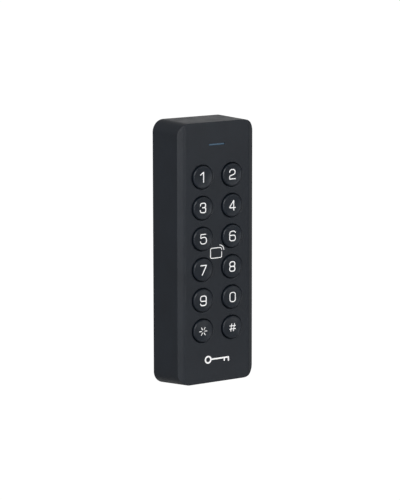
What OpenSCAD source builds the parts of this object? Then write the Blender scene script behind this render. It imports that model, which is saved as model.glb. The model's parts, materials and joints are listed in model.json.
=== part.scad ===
// Keypad access reader: a slim wall-mounted housing with twelve sprung round keys.
// Frame: origin at the centre of the face that lies on the wall, front towards -Y, +Z up.

/* [Housing] */
// Width of the housing
body_w = 46.2; // [44:0.1:60]
// Height of the housing
body_h = 136; // [134:0.5:160]
// Depth from the wall to the front face
body_d = 25.5; // [25:0.1:32]
// Radius of the four corners seen from the front
corner_r = 6.5; // [4:0.1:9]
// Thickness of the walls
wall_t = 2.2; // [1.8:0.1:2.4]
// Width of the flat part of the bevel down each long edge
bevel_w = 2.5; // [1:0.1:3]
// Angle of that flat part to the front face
bevel_deg = 30; // [15:1:40]
// Width of the round blend between the front face and the bevel
blend_w = 1.8; // [1:0.1:2.4]
// How far the back edge of the underside hangs below its front edge
foot_drop = 3; // [1:0.1:4]

/* [Keys] */
// Distance between the two columns of keys
pitch_x = 18; // [17:0.1:19]
// Distance between rows of keys
pitch_z = 16; // [15.6:0.1:17]
// Radius of a key hole
hole_r = 6.2; // [6.1:0.05:6.7]
// Chamfer round the front of a key hole
hole_chamfer = 0.4; // [0.1:0.05:0.6]
// Radius of a key cap
key_r = 5.9; // [5.4:0.05:6.1]
// Height of a key cap above the front face
key_proud = 1; // [0.3:0.1:1.5]
// Depth of the dish in a key cap
key_dish = 0.4; // [0.1:0.05:0.6]
// Radius round the rim of a key cap
key_edge_r = 0.6; // [0.2:0.1:0.7]
// Radius of the flange that keeps a key behind the front wall
flange_r = 7.3; // [7:0.1:7.6]

/* [Light] */
// Length of the light slot
slot_w = 9.8; // [6:0.1:14]
// Height of the light slot
slot_h = 0.9; // [0.6:0.1:2]
// Height of the light slot above the centre of the housing
slot_z = 56.3; // [54:0.1:57]
// Distance from the front face back to the light guide
slot_recess = 0.6; // [0.2:0.1:1]

/* [Fastening] */
// Spacing of the screw holes for a round wall box
round_box_pitch = 60; // [56:0.1:62]
// Spacing of the screw holes for a single-gang wall box
gang_box_pitch = 83.3; // [80:0.1:86]
// Radius of the wall screw holes in the bracket
wall_hole_r = 2.2; // [1.8:0.1:2.6]
// Radius of the cable bore in the grommet
cable_r = 2.75; // [2:0.05:3.2]
// Travel of the tamper plunger
tamper_travel = 1.5; // [1:0.1:2]

/* [Hidden] */
$fn = 64;

// Smallest overlap that makes a cut or a join clean.
eps = 0.01;
// Gap between flat faces of neighbouring pieces, and radial gap of a free sliding fit.
gap = 0.1;
slide_gap = 0.06;
// Radial gap between a screw and the hole it cuts its thread in.
thread_gap = 0.05;

// The stack of layers, each given as its Y position from the wall forward.
bracket_t = 1.5;
rim_y = -0.1;
front_y = -body_d;
inner_y = front_y + wall_t;

flange_t = 1.0;
flange_y = inner_y + gap;
pusher_h = 0.5;
dome_h = 1.3;
mat_t = 1.0;
dome_top_y = flange_y + flange_t + pusher_h + gap;
board_t = 1.6;
keypad_y = dome_top_y + dome_h + mat_t;
former_t = 2.8;
main_y = keypad_y + board_t + former_t + 2 * gap + 0.1;
main_back_y = main_y + board_t;
cover_t = 2.4;
cover_front_y = main_back_y + 5.0;
cover_back_y = cover_front_y + cover_t;

// Outline sizes of the inner pieces.
cavity_w = body_w - 2 * wall_t;
cavity_h = body_h - 2 * wall_t;
cavity_r = corner_r - wall_t;
foot_deg = atan(foot_drop / body_d);
board_w = cavity_w - 4.2;
board_h = 117.2;
board_r = 2.0;
mat_w = 34.6;
mat_h = 90;
former_w = 37.2;
former_h = 112;
former_rail = 3.2;
cover_gap = 0.3;

// Screw positions: corner posts for the rear cover, and centre posts for the boards.
post_x = body_w / 2 - 5.9;
post_z = body_h / 2 - 5.8;
post_r = 2.6;
cover_posts = [for (sx = [-1, 1], sz = [-1, 1]) [sx * post_x, sz * post_z]];
board_posts = [for (k = [-1.5 : 1.5]) [0, k * 2 * pitch_z]];
board_post_r = 2.4;
cover_screw_r = 1.2;
board_screw_r = 0.95;

// Key grid: column and row of each key, the top row first.
rows = 6;
key_x = [for (k = [0 : 11]) (k % 2 - 0.5) * pitch_x];
key_z = [for (k = [0 : 11]) ((rows - 1) / 2 - floor(k / 2)) * pitch_z];
led_z = [for (r = [0 : rows - 1]) ((rows - 1) / 2 - r) * pitch_z];

// Raised dot on the 5 key, above its number, for finding the key by touch.
dot_key = 4;
dot_above = 4.3;
dot_r = 0.45;
dot_proud = 0.15;

// Places of the pieces on the rear cover and the main board.
grommet_z = 4;
grommet_r = 4.2;
plunger_x = -10;
plunger_z = 50;
plunger_r = 1.5;
collar_r = 3.2;
tube_r = 4.4;
tube_back_y = -2.1;
tube_floor_t = 1.0;
switch_h = 2.6;

// Bracket and its lock at the bottom.
bracket_w = 38;
bracket_h = 122;
bracket_r = 3;
tab_t = 1.5;
tab_w = 11;
tab_z = -bracket_h / 2 + tab_t;
lock_y = -3.9;
lock_r = 1.5;
insert_r = 1.95;
insert_flange_r = 2.3;
insert_flange_t = 1.4;
lock_pocket_y = -7.2;
lock_pocket = [tab_w + 2, 6.6];
lock_pocket_z = tab_z - 1.2;
window_w = 18;
window_h = 36;
hook_x = 10;
hook_w = 6;
hook_t = 1.2;
hook_y = -4.6;
hook_top_z = cavity_h / 2 - 0.7;
catch_z = cavity_h / 2 - 1.2;

// ---------- helpers ----------

// Stands a front-view outline up between two Y positions.
module slab(y_front, y_back) {
  translate([0, y_back, 0]) rotate([90, 0, 0]) linear_extrude(y_back - y_front) children();
}

// A round bar along Y between two Y positions.
module bar(r, y_front, y_back, at = [0, 0]) {
  translate([at[0], y_back, at[1]]) rotate([90, 0, 0]) cylinder(r = r, h = y_back - y_front);
}

// A turned shape whose profile is drawn as [radius, height]; height 0 lies at y and grows forward.
module turned(y, at = [0, 0]) {
  translate([at[0], y, at[1]]) rotate([90, 0, 0]) rotate_extrude() children();
}

// A rectangle with round corners, centred.
module rounded(w, h, r) {
  square([w - 2 * r, h], center = true);
  square([w, h - 2 * r], center = true);
  for (sx = [-1, 1], sz = [-1, 1])
    translate([sx * (w / 2 - r), sz * (h / 2 - r)]) circle(r);
}

// A bar with half-round ends, centred.
module stadium(w, h) {
  square([w - h, h], center = true);
  for (s = [-1, 1]) translate([s * (w - h) / 2, 0]) circle(h / 2);
}

// A block given by its centre in X and Z, its size in X and Z, and its two Y faces.
module block(at, size, y_front, y_back) {
  slab(y_front, y_back) translate(at) square(size, center = true);
}

// A cross recess in a screw head that faces the wall.
module cross_recess(at, y_back, r, deep) {
  for (size = [[2 * r, 0.45 * r], [0.45 * r, 2 * r]]) block(at, size, y_back - deep, y_back + eps);
}

// ---------- housing ----------

// Plan profile seen from above: flat front, round blend and bevel at each long edge, moved in by inset.
module plan_profile(inset, y_end) {
  w = body_w / 2 - inset;
  f = front_y + inset;
  steps = 4;
  blend_r = blend_w / sin(bevel_deg);
  blend = [for (k = [0 : steps]) let (a = bevel_deg * k / steps)
    [w - bevel_w - blend_w + blend_r * sin(a), f + blend_r * (1 - cos(a))]];
  end = blend[steps];
  edge = [w, end[1] + (w - end[0]) * tan(bevel_deg)];
  side = concat(blend, [edge, [w, y_end]]);
  polygon(concat(side, [for (k = [len(side) - 1 : -1 : 0]) [-side[k][0], side[k][1]]]));
}

// The hollow inside the housing, open at the back.
module cavity_form() {
  intersection() {
    slab(front_y - 1, rim_y + 1) rounded(cavity_w, cavity_h, cavity_r);
    translate([0, 0, -body_h / 2]) linear_extrude(body_h) plan_profile(wall_t, rim_y + 1);
  }
}

// The housing's outside: a straight upper part, and a lower part turned so that the underside slopes.
module outer_form() {
  join_z = -body_h / 4;
  lap = 5;
  band = [body_w + 2, body_h];
  intersection() {
    union() {
      slab(front_y - 1, rim_y) intersection() {
        rounded(body_w, body_h, corner_r);
        translate([-band[0] / 2, join_z]) square(band);
      }
      translate([0, front_y, -body_h / 2]) rotate([-foot_deg, 0, 0])
        translate([0, -front_y, body_h / 2]) slab(front_y - lap, lap) intersection() {
          rounded(body_w, body_h, corner_r);
          translate([-band[0] / 2, join_z + lap - body_h]) square(band);
        }
    }
    translate([0, 0, -body_h]) linear_extrude(2 * body_h) plan_profile(0, rim_y);
  }
}

// Round hole for a key, chamfered at the front.
module key_opening(at) {
  bar(hole_r, front_y - 1, inner_y + 1, at);
  translate([at[0], front_y + hole_chamfer, at[1]]) rotate([90, 0, 0])
    cylinder(r1 = hole_r, r2 = hole_r + 2 * hole_chamfer, h = 2 * hole_chamfer);
}

module front_housing() {
  color("#303236") difference() {
    union() {
      difference() {
        outer_form();
        cavity_form();
      }
      // Corner posts for the rear cover.
      for (p = cover_posts) bar(post_r, inner_y - eps, cover_front_y, p);
      // Posts that the boards are screwed to.
      for (p = board_posts) bar(board_post_r, inner_y - eps, keypad_y, p);
      // Ledges that hold the long edges of the keypad board.
      for (sx = [-1, 1], k = [-1 : 1])
        block([sx * (cavity_w / 2 - 1.2), k * 2 * pitch_z], [3, 2.4], inner_y - eps, keypad_y);
    }
    for (k = [0 : 11]) key_opening([key_x[k], key_z[k]]);
    slab(front_y - 1, inner_y + 1) translate([0, slot_z]) stadium(slot_w, slot_h);
    for (p = cover_posts)
      bar(cover_screw_r + thread_gap, cover_front_y - 9.5, cover_front_y + 1, p);
    for (p = board_posts) bar(board_screw_r + thread_gap, inner_y + 0.4, keypad_y + 1, p);
    // Hole for the lock screw in the bottom wall: a counterbore up to a countersink.
    translate([0, lock_y, -body_h / 2 - foot_drop - 1]) cylinder(r = lock_r + 1.7, h = foot_drop + 1);
    translate([0, lock_y, -body_h / 2 - 1]) cylinder(r = lock_r + 0.3, h = wall_t + 2);
    translate([0, lock_y, -body_h / 2 - eps])
      cylinder(r1 = lock_r + 1.5, r2 = lock_r + 0.3, h = 1.2);
  }
}

module indicator_light_guide() {
  guide_front = front_y + slot_recess;
  color("#4677a0") {
    slab(guide_front, inner_y + 0.5) translate([0, slot_z])
      stadium(slot_w - 0.2, slot_h - 0.2);
    block([0, slot_z], [15, 3.4], flange_y, flange_y + 1.2);
    block([0, slot_z], [9.6, 1.8], flange_y + 1, keypad_y - 1.0);
    for (sx = [-1, 1]) block([sx * 6.7, slot_z], [1.6, 3.4], flange_y + 1, keypad_y - gap);
  }
}

// ---------- keys ----------

// Profile of the round cap above its flange, from the axis outwards, with the dish cut into its top.
module cap_profile(base, top) {
  dish_span = key_r - key_edge_r;
  dish_r = (dish_span * dish_span + key_dish * key_dish) / (2 * key_dish);
  difference() {
    union() {
      translate([0, base - eps]) square([dish_span, top - base + eps]);
      translate([0, base - eps]) square([key_r, top - key_edge_r - base + eps]);
      translate([dish_span, top - key_edge_r]) intersection() {
        circle(key_edge_r);
        square(key_edge_r);
      }
    }
    translate([0, top + dish_r - key_dish]) circle(dish_r, $fn = 360);
  }
}

// One key cap: dished round cap, flange and pusher, turned about its own axis.
module keycap(k) {
  base = flange_t + pusher_h;
  top = base + key_proud + wall_t + gap;
  top_y = front_y - key_proud;
  color("#3a3c40") {
    turned(flange_y + base, [key_x[k], key_z[k]]) {
      cap_profile(base, top);
      translate([0, pusher_h]) square([flange_r, flange_t]);
      square([2.6, pusher_h + eps]);
    }
    if (k == dot_key)
      bar(dot_r, top_y - dot_proud, top_y + 0.6, [key_x[k], key_z[k] + dot_above]);
  }
}

// One carbon pill, held inside the top of its dome.
module contact_pill(k) {
  color("#1c1c1e") bar(1.6, dome_top_y + 0.55, dome_top_y + 0.95, [key_x[k], key_z[k]]);
}

// Silicone sheet with a hollow dome under every key.
module key_mat() {
  color("#b9bcc0") difference() {
    union() {
      slab(keypad_y - mat_t, keypad_y - 0.02) rounded(mat_w, mat_h, 3);
      for (k = [0 : 11])
        turned(keypad_y - mat_t + eps, [key_x[k], key_z[k]])
          polygon([[0, 0], [4.6, 0], [3.1, dome_h], [0, dome_h]]);
    }
    for (k = [0 : 11])
      turned(keypad_y + eps, [key_x[k], key_z[k]])
        polygon([[0, 0], [4.1, 0], [2.4, mat_t + dome_h - 0.5], [0, mat_t + dome_h - 0.5]]);
    for (p = board_posts) bar(board_post_r + 0.3, keypad_y - 4, keypad_y + 1, p);
    for (z = led_z) block([0, z], [2.4, 3.2], keypad_y - 4, keypad_y + 1);
  }
}

// ---------- keypad board ----------

module keypad_board() {
  color("#1d5a36") difference() {
    union() {
      slab(keypad_y, keypad_y + board_t) rounded(board_w, board_h, board_r);
      // Gold contact pads, in two halves under each pill.
      for (k = [0 : 11], s = [-1, 1])
        block([key_x[k] + s * 1.15, key_z[k]], [1.9, 3.8], keypad_y - 0.06, keypad_y + eps);
    }
    for (p = board_posts) bar(board_screw_r + 0.15, keypad_y - 1, keypad_y + board_t + 1, p);
  }
}

module indicator_leds() {
  color("#e8ecf0") for (x = [-3, 0, 3]) block([x, slot_z], [1.6, 0.9], keypad_y - 0.7, keypad_y);
}

module backlight_leds() {
  color("#f2efd8") for (z = led_z) block([0, z], [1.2, 2.0], keypad_y - 0.7, keypad_y);
}

// ---------- antenna ----------

// Outline of one rectangular ring.
module ring(w, h, r, rail) {
  difference() {
    rounded(w, h, r);
    rounded(w - 2 * rail, h - 2 * rail, max(r - rail, 0.8));
  }
}

module coil_former() {
  back = main_y - gap;
  lip = 0.6;
  color("#d9d6cc") {
    slab(back - lip, back) ring(former_w, former_h, 4, former_rail);
    slab(back - former_t, back - former_t + lip) ring(former_w, former_h, 4, former_rail);
    slab(back - former_t, back) ring(former_w - 4, former_h - 4, 2, former_rail - 2);
  }
}

module antenna_coil() {
  back = main_y - gap;
  color("#b8733a")
    slab(back - former_t + 0.65, back - 0.65) ring(former_w - 0.5, former_h - 0.5, 3.75, 1.65);
}

// ---------- main board ----------

module main_board() {
  color("#1d5a36") difference() {
    slab(main_y, main_back_y) rounded(board_w, board_h, board_r);
    for (p = board_posts) bar(board_screw_r + 0.15, main_y - 1, main_back_y + 1, p);
  }
}

// A flat chip with its legs along two sides; legs on all four sides when quad is true.
module chip(at, size, high, legs, quad = false) {
  pitch = size[1] / (legs + 1);
  block(at, size, main_back_y + 0.1, main_back_y + high);
  for (s = [-1, 1], k = [1 : legs]) {
    along = -size[1] / 2 + k * pitch;
    block([at[0] + s * (size[0] / 2 + 0.3), at[1] + along], [0.7, 0.4 * pitch],
      main_back_y, main_back_y + 0.5);
    if (quad)
      block([at[0] + along, at[1] + s * (size[1] / 2 + 0.3)], [0.4 * pitch, 0.7],
        main_back_y, main_back_y + 0.5);
  }
}

module microcontroller() {
  color("#222326") chip([-9, -32], [10, 10], 1.4, 11, true);
}

module radio_chip() {
  color("#222326") block([9, 26], [5, 5], main_back_y, main_back_y + 0.9);
}

module bus_transceiver() {
  color("#222326") chip([10, -30], [3.9, 4.9], 1.6, 4);
}

module crystal() {
  color("#b9bcc0") slab(main_back_y, main_back_y + 3.4) translate([-9, -21]) stadium(11, 4.6);
}

module filter_capacitor() {
  at = [10, -46];
  color("#8f9499") {
    block(at, [6.6, 6.6], main_back_y, main_back_y + 0.8);
    bar(3.15, main_back_y + 0.7, main_back_y + 4.4, at);
  }
}

module power_inductor() {
  color("#3b3c3e") block([-11, -50], [6, 6], main_back_y, main_back_y + 2.8);
}

module buzzer() {
  at = [10, 44];
  color("#1b1b1d") difference() {
    bar(6, main_back_y, main_back_y + 4.2, at);
    bar(1, main_back_y + 3, main_back_y + 5, at);
  }
}

// Two rows of six pins between the boards.
link_at = [10, -4];
link_pitch = 2;
function link_pin(k) = [
  link_at[0] + (k % 2 - 0.5) * link_pitch,
  link_at[1] + (floor(k / 2) - 2.5) * link_pitch
];

module link_header() {
  color("#1f2022") difference() {
    block(link_at, [4.4, 12.6], keypad_y + board_t, main_y - 0.6);
    for (k = [0 : 11]) bar(0.4, keypad_y, main_y, link_pin(k));
  }
}

module link_pins() {
  color("#d9b44a") for (k = [0 : 11])
    bar(0.3, keypad_y + board_t + 0.05, main_y - 0.05, link_pin(k));
}

// Shrouded header for the leads of the cable.
wire_at = [0, -6.5];
module wire_header() {
  color("#e9e6dc") difference() {
    block(wire_at, [20, 5.4], main_back_y, main_back_y + 4.2);
    block(wire_at, [18, 3.6], main_back_y + 1, main_back_y + 5);
  }
}

module wire_pins() {
  color("#d9b44a") for (k = [-3.5 : 3.5])
    block([wire_at[0] + 2 * k, wire_at[1]], [0.5, 0.5], main_back_y + 1, main_back_y + 3.6);
}

// ---------- board fixings ----------

module board_spacers() {
  color("#c9a24a") for (p = board_posts) difference() {
    bar(2.1, keypad_y + board_t, main_y, p);
    bar(board_screw_r + 0.1, keypad_y, main_y + 1, p);
  }
}

module board_screws() {
  tip = inner_y + 1.0;
  color("#b9bcc0") for (p = board_posts) difference() {
    union() {
      bar(board_screw_r, tip, main_back_y + 0.5, p);
      bar(1.9, main_back_y, main_back_y + 1.4, p);
    }
    cross_recess(p, main_back_y + 1.4, 1.2, 0.8);
  }
}

// ---------- tamper switch ----------

plunger_at = [plunger_x, plunger_z];
collar_y = tube_back_y - tube_floor_t - gap;
collar_t = 1.0;
nose_y = main_back_y + switch_h + 0.6 + tamper_travel;

module tamper_switch() {
  color("#28292c") {
    block(plunger_at, [6.6, 6.6], main_back_y, main_back_y + switch_h);
    bar(1.3, main_back_y + switch_h - eps, main_back_y + switch_h + 0.5, plunger_at);
  }
}

module tamper_plunger() {
  color("#d9d6cc") {
    bar(plunger_r, collar_y - collar_t + eps, tamper_travel, plunger_at);
    bar(collar_r, collar_y - collar_t, collar_y, plunger_at);
    bar(1.2, nose_y, collar_y - collar_t + eps, plunger_at);
  }
}

// Coil spring between the switch body and the plunger's collar: eight-sided wire on a helix.
module tamper_spring() {
  low = main_back_y + switch_h + 0.05;
  high = collar_y - collar_t - 0.05;
  wire_r = 0.25;
  coil_r = 2.3;
  turns = 4.5;
  sides = 8;
  count = turns * 14;
  rise = high - low - 2 * wire_r;
  points = [for (k = [0 : count], j = [0 : sides - 1])
    let (a = 360 * turns * k / count, b = 360 * j / sides, r = coil_r + wire_r * cos(b))
      [r * cos(a), low + wire_r + rise * k / count + wire_r * sin(b), r * sin(a)]];
  skin = [for (k = [0 : count - 1], j = [0 : sides - 1])
    let (n = (j + 1) % sides, a = k * sides + j, b = k * sides + n)
      [a, b, b + sides, a + sides]];
  ends = [
    [for (j = [0 : sides - 1]) sides - 1 - j],
    [for (j = [0 : sides - 1]) count * sides + j]
  ];
  color("#b9bcc0") translate([plunger_x, 0, plunger_z]) polyhedron(points, concat(skin, ends));
}

// ---------- rear cover ----------

module rear_cover() {
  color("#2b2d30") difference() {
    union() {
      difference() {
        slab(cover_front_y, cover_back_y)
          rounded(cavity_w - 2 * cover_gap, cavity_h - 2 * cover_gap, cavity_r - cover_gap);
        // Groove round the edge for the seal.
        slab(cover_front_y + 0.6, cover_front_y + 1.4)
          ring(cavity_w + 2, cavity_h + 2, cavity_r + 1, 1.9 + cover_gap);
      }
      // Floor of the pocket for the bracket's tab.
      block([0, lock_pocket_z], lock_pocket + [3, 1], lock_pocket_y - 1.8, cover_front_y + eps);
      // Catches that the bracket's hooks reach behind.
      for (sx = [-1, 1])
        block([sx * hook_x, catch_z], [hook_w + 3.2, 1.8], cover_back_y - eps, hook_y + hook_t + 1.5);
      // Guide tube of the tamper plunger.
      bar(tube_r, cover_front_y, tube_back_y, plunger_at);
    }
    for (p = cover_posts) {
      bar(cover_screw_r + 0.2, cover_front_y - 1, cover_back_y + 1, p);
      bar(2.3, cover_back_y - 0.8, cover_back_y + 1, p);
    }
    bar(collar_r + slide_gap, cover_front_y - 1, tube_back_y - tube_floor_t, plunger_at);
    bar(plunger_r + slide_gap, cover_front_y - 1, tube_back_y + 1, plunger_at);
    bar(grommet_r - 0.9, cover_front_y - 1, cover_back_y + 1, [0, grommet_z]);
    // Room for the bracket's tab and insert at the bottom, and for the hooks at the top.
    block([0, lock_pocket_z], lock_pocket, lock_pocket_y, cover_back_y + 1);
    for (sx = [-1, 1])
      block([sx * hook_x, catch_z], [hook_w + 0.8, 3], hook_y - 0.4, hook_y + hook_t + 0.3);
  }
}

module cover_seal() {
  color("#18181a")
    slab(cover_front_y + 0.65, cover_front_y + 1.35)
      ring(cavity_w - 0.1, cavity_h - 0.1, cavity_r - 0.05, 0.8);
}

module cover_screws() {
  head_y = cover_back_y - 0.75;
  color("#b9bcc0") for (p = cover_posts) difference() {
    union() {
      bar(cover_screw_r, cover_front_y - 8.8, head_y + 0.5, p);
      bar(2.1, head_y, head_y + 1.4, p);
    }
    cross_recess(p, head_y + 1.4, 1.4, 0.8);
  }
}

// Rubber grommet: a groove holds it in the rear cover, and the cable runs through its bore.
module cable_grommet() {
  neck_r = grommet_r - 0.95;
  color("#18181a") difference() {
    union() {
      bar(neck_r, cover_front_y - 0.6, cover_back_y + 0.6, [0, grommet_z]);
      bar(grommet_r + 0.4, cover_front_y - 0.9, cover_front_y - 0.02, [0, grommet_z]);
      bar(grommet_r + 0.4, cover_back_y + 0.02, cover_back_y + 1.4, [0, grommet_z]);
    }
    bar(cable_r, cover_front_y - 2, cover_back_y + 2, [0, grommet_z]);
  }
}

// ---------- bracket ----------

module mounting_bracket() {
  color("#9a9da1") difference() {
    union() {
      slab(-bracket_t, 0) rounded(bracket_w, bracket_h, bracket_r);
      // Bottom tab that carries the threaded insert.
      translate([-tab_w / 2, lock_y - 3, tab_z - tab_t]) cube([tab_w, 3 - lock_y, tab_t]);
      // Two top hooks: a leg forward and a lip up.
      for (sx = [-1, 1]) {
        translate([sx * hook_x - hook_w / 2, hook_y, bracket_h / 2 - bracket_t])
          cube([hook_w, -hook_y, bracket_t]);
        translate([sx * hook_x - hook_w / 2, hook_y, bracket_h / 2 - bracket_t])
          cube([hook_w, hook_t, hook_top_z - bracket_h / 2 + bracket_t]);
      }
    }
    slab(-bracket_t - 1, 1) rounded(window_w, window_h, 3);
    for (pitch = [round_box_pitch, gang_box_pitch], s = [-1, 1])
      bar(wall_hole_r, -bracket_t - 1, 1, [0, s * pitch / 2]);
    bar(plunger_r + 0.9, -bracket_t - 1, 1, plunger_at);
    translate([0, lock_y, tab_z - tab_t - 1]) cylinder(r = insert_r + 0.05, h = tab_t + 2);
  }
}

// Threaded insert pressed into the bottom tab.
module lock_insert() {
  color("#c9a24a") difference() {
    translate([0, lock_y, tab_z - tab_t]) {
      cylinder(r = insert_r, h = tab_t + 0.1);
      translate([0, 0, tab_t + 0.05]) cylinder(r = insert_flange_r, h = insert_flange_t);
    }
    translate([0, lock_y, tab_z - tab_t - 1]) cylinder(r = lock_r + thread_gap, h = 8);
  }
}

// Countersunk lock screw, driven up from the bottom of the housing.
module lock_screw() {
  bottom = -body_h / 2 + 0.15;
  color("#b9bcc0") difference() {
    translate([0, lock_y, bottom]) {
      cylinder(r1 = lock_r + 1.25, r2 = lock_r, h = 1.1);
      translate([0, 0, 1.0]) cylinder(r = lock_r, h = tab_z + 1.2 - bottom - 1.0);
    }
    translate([0, lock_y, bottom - eps]) for (a = [0, 60, 120])
      rotate([0, 0, a]) translate([-1.3, -0.3, 0]) cube([2.6, 0.6, 0.9]);
  }
}

front_housing();
indicator_light_guide();
keycap(0);  // keycap_1
keycap(1);  // keycap_2
keycap(2);  // keycap_3
keycap(3);  // keycap_4
keycap(4);  // keycap_5
keycap(5);  // keycap_6
keycap(6);  // keycap_7
keycap(7);  // keycap_8
keycap(8);  // keycap_9
keycap(9);  // keycap_0
keycap(10);  // keycap_star
keycap(11);  // keycap_hash
contact_pill(0);  // contact_pill_1
contact_pill(1);  // contact_pill_2
contact_pill(2);  // contact_pill_3
contact_pill(3);  // contact_pill_4
contact_pill(4);  // contact_pill_5
contact_pill(5);  // contact_pill_6
contact_pill(6);  // contact_pill_7
contact_pill(7);  // contact_pill_8
contact_pill(8);  // contact_pill_9
contact_pill(9);  // contact_pill_0
contact_pill(10);  // contact_pill_star
contact_pill(11);  // contact_pill_hash
key_mat();
keypad_board();
indicator_leds();
backlight_leds();
coil_former();
antenna_coil();
main_board();
microcontroller();
radio_chip();
bus_transceiver();
crystal();
filter_capacitor();
power_inductor();
buzzer();
link_header();
link_pins();
wire_header();
wire_pins();
board_spacers();
board_screws();
tamper_switch();
tamper_plunger();
tamper_spring();
rear_cover();
cover_seal();
cover_screws();
cable_grommet();
mounting_bracket();
lock_insert();
lock_screw();
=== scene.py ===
"""Looks of the keypad access reader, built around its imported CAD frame. Lengths are metres."""
import json
import math

import bmesh
import bpy
from mathutils import Matrix, Vector
from mathutils.geometry import delaunay_2d_cdt


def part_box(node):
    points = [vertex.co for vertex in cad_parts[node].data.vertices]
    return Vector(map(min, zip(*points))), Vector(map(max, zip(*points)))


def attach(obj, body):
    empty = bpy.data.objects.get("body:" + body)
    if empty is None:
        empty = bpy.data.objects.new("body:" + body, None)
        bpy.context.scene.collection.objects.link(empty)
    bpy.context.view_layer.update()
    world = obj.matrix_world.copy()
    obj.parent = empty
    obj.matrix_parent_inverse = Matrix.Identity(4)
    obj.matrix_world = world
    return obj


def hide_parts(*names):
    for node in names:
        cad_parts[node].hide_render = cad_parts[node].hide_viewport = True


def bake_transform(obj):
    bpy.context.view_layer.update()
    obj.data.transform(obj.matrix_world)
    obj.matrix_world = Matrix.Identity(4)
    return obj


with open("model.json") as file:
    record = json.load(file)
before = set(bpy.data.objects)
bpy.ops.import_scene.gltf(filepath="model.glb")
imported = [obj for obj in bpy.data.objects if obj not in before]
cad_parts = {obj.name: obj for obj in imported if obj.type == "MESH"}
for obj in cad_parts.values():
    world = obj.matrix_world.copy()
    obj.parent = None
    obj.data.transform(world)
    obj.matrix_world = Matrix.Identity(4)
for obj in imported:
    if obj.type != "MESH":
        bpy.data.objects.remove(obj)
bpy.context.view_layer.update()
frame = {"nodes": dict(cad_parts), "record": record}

MM = 0.001
KEYS = ["1", "2", "3", "4", "5", "6", "7", "8", "9", "0", "star", "hash"]

# ---------- sizes shared by several sections ----------

HOUSING_LO, HOUSING_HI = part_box("front_housing")
HALF_W = HOUSING_HI.x
HALF_H = HOUSING_HI.z
FRONT_Y = HOUSING_LO.y
RIM_Y = HOUSING_HI.y
FOOT_SLOPE = (-HOUSING_LO.z - HALF_H) / (RIM_Y - FRONT_Y)
CORNER_R = 6.5 * MM
WALL = 2.2 * MM
BEVEL_W = 2.5 * MM
BEVEL_ANGLE = math.radians(30)
BLEND_W = 1.8 * MM
HOLE_R = 6.2 * MM
KEY_R = 5.9 * MM
KEY_EDGE_R = 0.6 * MM
KEY_PROUD = 1.0 * MM
KEY_DISH = 0.4 * MM
KEY_TOP_Y = FRONT_Y - KEY_PROUD
DISH_SPAN = KEY_R - KEY_EDGE_R
DISH_R = (DISH_SPAN ** 2 + KEY_DISH ** 2) / (2 * KEY_DISH)
SPACER_R = 2.1 * MM


def key_centre(key):
    """X and Z of the middle of a key."""
    lo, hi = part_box("contact_pill_" + key)
    return (lo.x + hi.x) / 2, (lo.z + hi.z) / 2


def box_centre(node):
    lo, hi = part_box(node)
    return (lo + hi) / 2


def spacer_rows():
    """Z of the middle of each of the four board spacers, from the lowest up."""
    lo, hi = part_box("board_spacers")
    return [lo.z + SPACER_R + k / 3 * (hi.z - lo.z - 2 * SPACER_R) for k in range(4)]


# ---------- mesh building ----------

class Shell:
    """Collects points and faces of one piece, which may hold several closed bodies."""

    def __init__(self):
        self.points = []
        self.faces = []

    def loop(self, points):
        first = len(self.points)
        self.points.extend(points)
        return list(range(first, len(self.points)))

    def bridge(self, a, b, closed=True):
        count = len(a)
        for i in range(count if closed else count - 1):
            n = (i + 1) % count
            self.faces.append((a[i], a[n], b[n], b[i]))

    def fan(self, ring, tip):
        for i in range(len(ring)):
            self.faces.append((ring[i], ring[(i + 1) % len(ring)], tip))

    def fill(self, outer, holes, flat):
        """Flat face bounded by loops of point numbers; flat gives a point's two coordinates."""
        loops = [outer] + holes
        numbers = [n for one in loops for n in one]
        where = {n: i for i, n in enumerate(numbers)}
        flat_points = [Vector(flat(self.points[n])) for n in numbers]
        edges = []
        for one in loops:
            edges += [(where[one[i]], where[one[(i + 1) % len(one)]]) for i in range(len(one))]
        points, _, triangles, origin, _, _ = delaunay_2d_cdt(flat_points, edges, [], 1, 1e-9)
        rims = [[flat_points[where[n]] for n in one] for one in holes]
        for triangle in triangles:
            middle = sum((points[i] for i in triangle), Vector((0, 0))) / 3
            if not any(inside(middle, rim) for rim in rims):
                self.faces.append(tuple(numbers[origin[i][0]] for i in triangle))

    def build(self, name, material, sharp=35, weighted=True):
        mesh = bpy.data.meshes.new(name)
        mesh.from_pydata([Vector(p) for p in self.points], [], self.faces)
        work = bmesh.new()
        work.from_mesh(mesh)
        bmesh.ops.recalc_face_normals(work, faces=work.faces)
        work.to_mesh(mesh)
        work.free()
        mesh.polygons.foreach_set("use_smooth", [True] * len(mesh.polygons))
        mesh.set_sharp_from_angle(angle=math.radians(sharp))
        mesh.materials.append(material)
        piece = bpy.data.objects.new(name, mesh)
        bpy.context.scene.collection.objects.link(piece)
        if weighted:
            modifier = piece.modifiers.new("normals", "WEIGHTED_NORMAL")
            modifier.keep_sharp = True
        return piece


def inside(point, rim):
    """Whether a flat point lies inside a closed rim."""
    hit = False
    for i, a in enumerate(rim):
        b = rim[i - 1]
        if (a.y > point.y) != (b.y > point.y):
            if point.x < (b.x - a.x) * (point.y - a.y) / (b.y - a.y) + a.x:
                hit = not hit
    return hit


def front_view(point):
    return point[0], point[2]


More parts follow.
